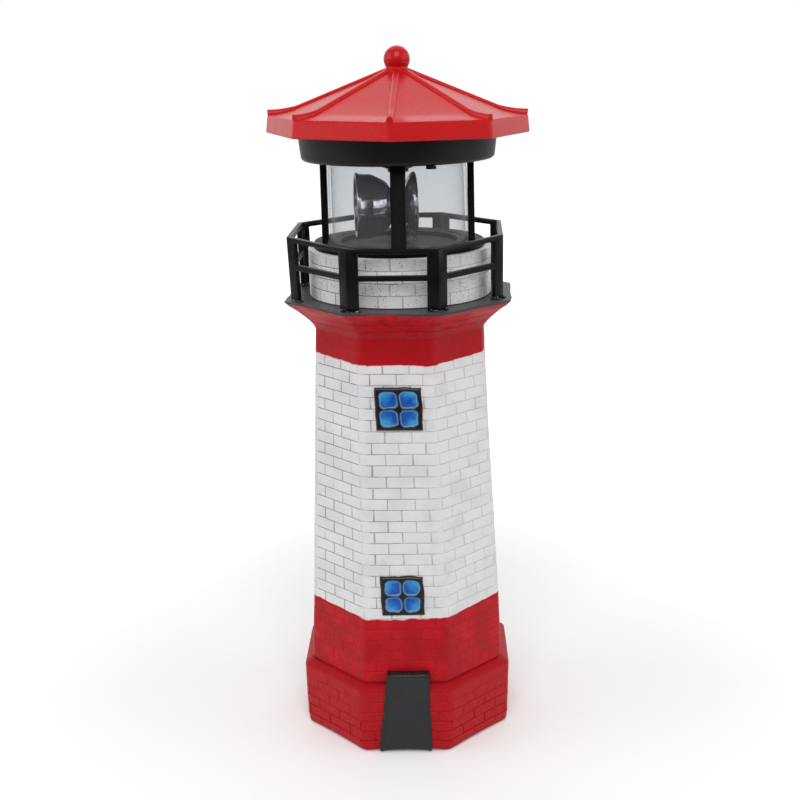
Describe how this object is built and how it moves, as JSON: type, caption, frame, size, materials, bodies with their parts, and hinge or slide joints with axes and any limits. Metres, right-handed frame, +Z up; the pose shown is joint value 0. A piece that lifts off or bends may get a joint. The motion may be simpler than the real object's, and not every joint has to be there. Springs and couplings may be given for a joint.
{
  "type": "garden lighthouse ornament",
  "caption": "Eight-sided cast tower with gallery rail and a lift-out solar lantern whose reflector lamp turns under an eight-sided roof.",
  "frame": {"origin": "middle of the foot, on the ground, under the lantern's axis", "axes": "+Z up along the lantern's axis; -Y is the front, with the door and windows"},
  "size_m": [0.1032, 0.1032, 0.28],
  "materials": {
    "tower": "satin",
    "rail": "satin",
    "black_plastic": "satin",
    "clear_plastic": "gloss",
    "roof_plastic": "gloss",
    "solar_cell": "gloss",
    "mirror_plating": "polished",
    "screw_steel": "satin",
    "motor_steel": "satin",
    "brass_part": "satin",
    "white_plastic": "satin",
    "gear_plastic": "satin",
    "cell_jacket": "satin",
    "contact_plate": "satin",
    "board": "satin",
    "lead_jacket": "satin",
    "led_lens": "gloss"
  },
  "bodies": {
    "tower": {"tower_casting": "tower", "gallery_rail": "rail"},
    "lantern": {"lantern_cage": "black_plastic", "glazing_tube": "clear_plastic", "collar_housing": "black_plastic", "roof_shell": "roof_plastic", "solar_panels": "solar_cell", "housing_screws": "screw_steel", "gearbox_base": "white_plastic", "gearbox_lid": "white_plastic", "gearbox_screws": "screw_steel", "motor_can": "motor_steel", "idler_pin": "screw_steel", "spindle_bush": "brass_part", "pivot_pin": "screw_steel", "led": "led_lens", "led_stem": "white_plastic", "battery_cell": "cell_jacket", "battery_holder": "black_plastic", "battery_contacts": "contact_plate", "circuit_board": "board", "lead_wires": "lead_jacket", "switch_case": "screw_steel"},
    "lamp": {"lamp_spindle": "black_plastic", "deep_reflector": "mirror_plating", "shallow_reflector": "mirror_plating", "spindle_gear": "gear_plastic"},
    "idler": {"idler_gear": "gear_plastic"},
    "motor_shaft": {"motor_pinion": "brass_part"},
    "knob": {"switch_knob": "black_plastic"}
  },
  "joints": [
    {"name": "lantern_lift", "type": "slide", "parent": "tower", "child": "lantern", "axis": [0, 0, 1], "range_m": [0, 0.03]},
    {"name": "lamp_spin", "type": "hinge", "parent": "lantern", "child": "lamp", "pos_m": [0, 0, 0.2188], "axis": [0, 0, 1], "continuous": true},
    {"name": "idler_spin", "type": "hinge", "parent": "lantern", "child": "idler", "pos_m": [-0.01031, 0.00707, 0.2512], "axis": [0, 0, 1], "continuous": true},
    {"name": "motor_spin", "type": "hinge", "parent": "lantern", "child": "motor_shaft", "pos_m": [-0.02, 0, 0.2512], "axis": [0, 0, 1], "continuous": true},
    {"name": "switch_slide", "type": "slide", "parent": "lantern", "child": "knob", "axis": [0.9397, 0.342, 0], "range_m": [-0.002, 0]}
  ],
  "couplings": [
    {"joint": "idler_spin", "follows": "lamp_spin", "ratio": -4},
    {"joint": "motor_spin", "follows": "lamp_spin", "ratio": 20}
  ]
}
